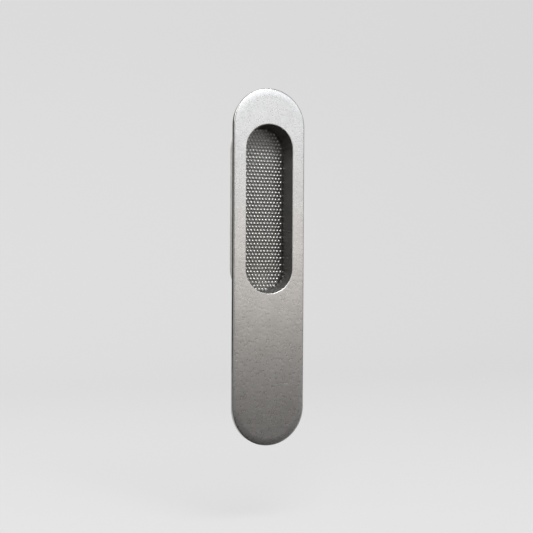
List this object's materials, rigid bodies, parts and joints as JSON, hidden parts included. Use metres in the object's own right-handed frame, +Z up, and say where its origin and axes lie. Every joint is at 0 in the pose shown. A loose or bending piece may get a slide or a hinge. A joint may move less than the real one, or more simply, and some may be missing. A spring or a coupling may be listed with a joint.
{
  "type": "flush finger cup pull",
  "caption": "Long flat door plate with round ends, carrying a stadium-shaped finger cup with a beaded floor in its upper half; blank below, no visible screws.",
  "frame": {"origin": "centre of the cup's mouth, in the plane of the door's face (the back of the plate)", "axes": "+X across the plate, +Y into the door, +Z up along the plate's length"},
  "size_m": [0.038, 0.0148, 0.18],
  "materials": {
    "satin_nickel": "satin nickel plating over a fine blasted surface, neutral warm grey"
  },
  "bodies": {
    "root": {"cup_pull": "satin_nickel"}
  },
  "joints": []
}
